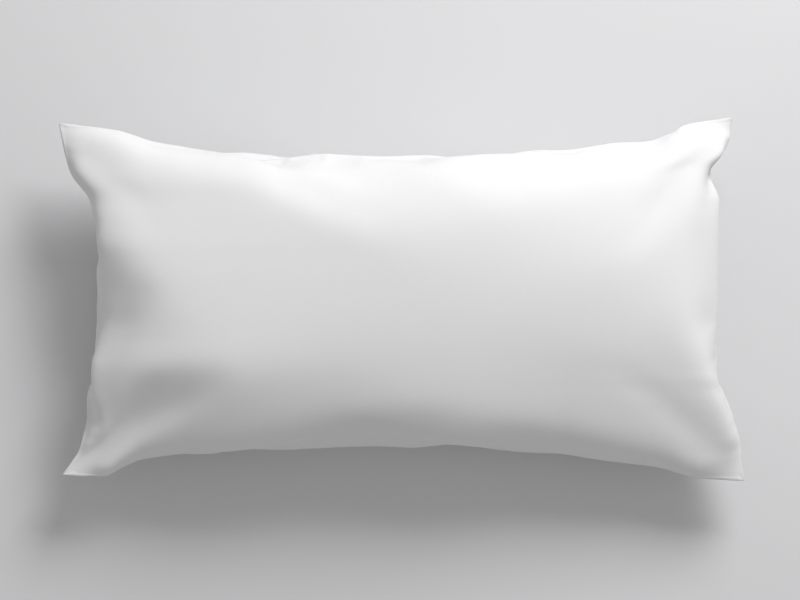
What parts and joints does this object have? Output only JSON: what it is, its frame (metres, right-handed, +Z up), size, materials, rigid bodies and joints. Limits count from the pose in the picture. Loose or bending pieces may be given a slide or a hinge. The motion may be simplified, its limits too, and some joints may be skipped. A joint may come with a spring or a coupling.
{
  "type": "bed pillow",
  "caption": "Plump rectangular bed pillow with pointed corners, in a plain knife-edge cover that unzips at one end to release a sewn insert of fibre fill.",
  "frame": {"origin": "middle of the pillow's footprint, on the surface that it lies on", "axes": "+X along the pillow towards the zipped end, +Y across it, +Z up from the back panel to the front panel"},
  "size_m": [0.906, 0.48, 0.19],
  "materials": {
    "cover_cloth": "white plain-weave cotton-linen with fine slubs along its length, soft sheen",
    "ticking": "off-white tightly woven cotton ticking",
    "fibre_fill": "white lofted polyester fibre fill",
    "label_satin": "blank white satin ribbon",
    "thread": "white spun polyester sewing thread",
    "zip_tape": "white woven zip tape",
    "zip_coil": "white nylon coil, satin",
    "zip_stop": "crimped bright metal",
    "slider_metal": "white enamelled die casting, worn a little at the edges"
  },
  "bodies": {
    "pillow": {"care_label": "label_satin", "cover_back_panel": "cover_cloth", "cover_front_panel": "cover_cloth", "cover_overlocking": "thread", "cover_seam_stitching": "thread", "insert_bottom_panel": "ticking", "insert_closing_stitches": "thread", "insert_fill": "fibre_fill", "insert_label": "label_satin", "insert_seam_stitching": "thread", "insert_top_panel": "ticking", "zip_bar_tacks": "thread", "zip_bottom_stop": "zip_stop", "zip_coil_back": "zip_coil", "zip_coil_front": "zip_coil", "zip_stitching_back": "thread", "zip_stitching_front": "thread", "zip_tape_back": "zip_tape", "zip_tape_front": "zip_tape", "zip_top_stops": "zip_stop"},
    "slider": {"zip_slider": "slider_metal"},
    "puller": {"zip_puller": "slider_metal"}
  },
  "joints": [
    {"name": "slider_travel", "type": "slide", "parent": "pillow", "child": "slider", "axis": [0, 1, 0], "range_m": [0, 0.219]},
    {"name": "puller_swing", "type": "hinge", "parent": "slider", "child": "puller", "pos_m": [0.4114, -0.0772, 0.092], "axis": [0, 0, -1], "range_deg": [0, 170]}
  ]
}
